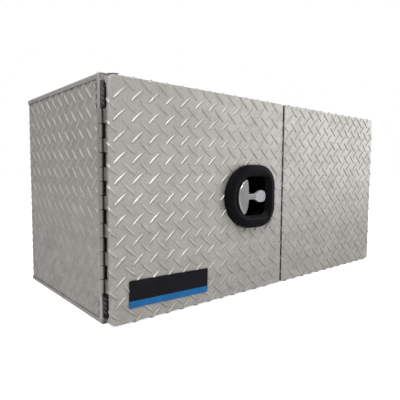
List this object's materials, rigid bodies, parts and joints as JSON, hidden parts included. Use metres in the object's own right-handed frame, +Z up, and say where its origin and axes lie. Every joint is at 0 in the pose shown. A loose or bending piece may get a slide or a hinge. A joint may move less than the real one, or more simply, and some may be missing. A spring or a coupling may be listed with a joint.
{
  "type": "underbody tool box",
  "caption": "Long tread plate underbody tool box with two side-hinged doors and a folding T handle in a black oval bezel.",
  "frame": {"origin": "bottom centre of the whole object", "axes": "+Z up, the doors face -Y, +X to the right as seen from the front"},
  "size_m": [0.9234, 0.4572, 0.4572],
  "materials": {
    "tread_plate": "bright embossed tread plate, lightly worn",
    "mill_aluminium": "plain mill-finish sheet",
    "hinge_aluminium": "satin rolled hinge strip",
    "zinc_steel": "zinc-plated steel",
    "satin_handle": "fine satin paint over a casting",
    "black_casting": "semi-gloss black",
    "black_rubber": "matt",
    "label_black": "smooth and bare, with a dark blue band in its lowest quarter"
  },
  "bodies": {
    "box": {"top_panel": "tread_plate", "bottom_panel": "tread_plate", "back_panel": "mill_aluminium", "left_side_panel": "tread_plate", "right_side_panel": "tread_plate", "left_front_post": "mill_aluminium", "right_front_post": "mill_aluminium", "top_front_rail": "mill_aluminium", "bottom_front_rail": "mill_aluminium", "opening_seal": "black_rubber", "left_hinge_body_leaf": "hinge_aluminium", "left_hinge_pin": "zinc_steel", "right_hinge_body_leaf": "hinge_aluminium", "right_hinge_pin": "zinc_steel"},
    "left_door": {"left_door_pan": "tread_plate", "left_door_liner": "mill_aluminium", "left_hinge_door_leaf": "hinge_aluminium", "latch_bezel": "black_casting", "latch_dish": "black_casting", "spindle_bush": "zinc_steel", "latch_gasket": "black_rubber", "latch_back_plate": "zinc_steel", "latch_screw_1": "zinc_steel", "latch_screw_2": "zinc_steel", "latch_screw_3": "zinc_steel", "latch_screw_4": "zinc_steel", "upper_rod_guide": "mill_aluminium", "lower_rod_guide": "mill_aluminium", "label_plate": "label_black"},
    "spindle": {"latch_spindle": "black_casting", "fold_pin": "zinc_steel", "latch_cam": "zinc_steel", "cam_nut": "zinc_steel"},
    "handle": {"latch_handle": "satin_handle"},
    "upper_rod": {"upper_lock_rod": "zinc_steel", "upper_rod_yoke": "zinc_steel"},
    "lower_rod": {"lower_lock_rod": "zinc_steel", "lower_rod_yoke": "zinc_steel"},
    "right_door": {"right_door_pan": "tread_plate", "right_door_liner": "mill_aluminium", "right_hinge_door_leaf": "hinge_aluminium", "meeting_seal": "black_rubber", "upper_bolt_bracket": "mill_aluminium", "lower_bolt_bracket": "mill_aluminium"},
    "upper_bolt": {"upper_slide_bolt": "zinc_steel", "upper_bolt_knob": "zinc_steel"},
    "lower_bolt": {"lower_slide_bolt": "zinc_steel", "lower_bolt_knob": "zinc_steel"}
  },
  "joints": [
    {"name": "left_door_swing", "type": "hinge", "parent": "box", "child": "left_door", "pos_m": [-0.4572, -0.1826, 0.2266], "axis": [0, 0, -1], "range_deg": [0, 175]},
    {"name": "right_door_swing", "type": "hinge", "parent": "box", "child": "right_door", "pos_m": [0.4572, -0.1826, 0.2266], "axis": [0, 0, 1], "range_deg": [0, 175]},
    {"name": "latch_turn", "type": "hinge", "parent": "left_door", "child": "spindle", "pos_m": [-0.1072, -0.2128, 0.2266], "axis": [0, -1, 0], "range_deg": [0, 90]},
    {"name": "handle_fold", "type": "hinge", "parent": "spindle", "child": "handle", "pos_m": [-0.1072, -0.2158, 0.2266], "axis": [0, 0, 1], "range_deg": [0, 40]},
    {"name": "upper_rod_slide", "type": "slide", "parent": "left_door", "child": "upper_rod", "axis": [0, 0, 1], "range_m": [0, 0.0283]},
    {"name": "lower_rod_slide", "type": "slide", "parent": "left_door", "child": "lower_rod", "axis": [0, 0, -1], "range_m": [0, 0.0283]},
    {"name": "upper_bolt_slide", "type": "slide", "parent": "right_door", "child": "upper_bolt", "axis": [0, 0, 1], "range_m": [0, 0.022]},
    {"name": "lower_bolt_slide", "type": "slide", "parent": "right_door", "child": "lower_bolt", "axis": [0, 0, -1], "range_m": [0, 0.022]}
  ],
  "couplings": [
    {"joint": "upper_rod_slide", "follows": "latch_turn", "m_per_rad": 0.018006},
    {"joint": "lower_rod_slide", "follows": "latch_turn", "m_per_rad": 0.018006}
  ]
}
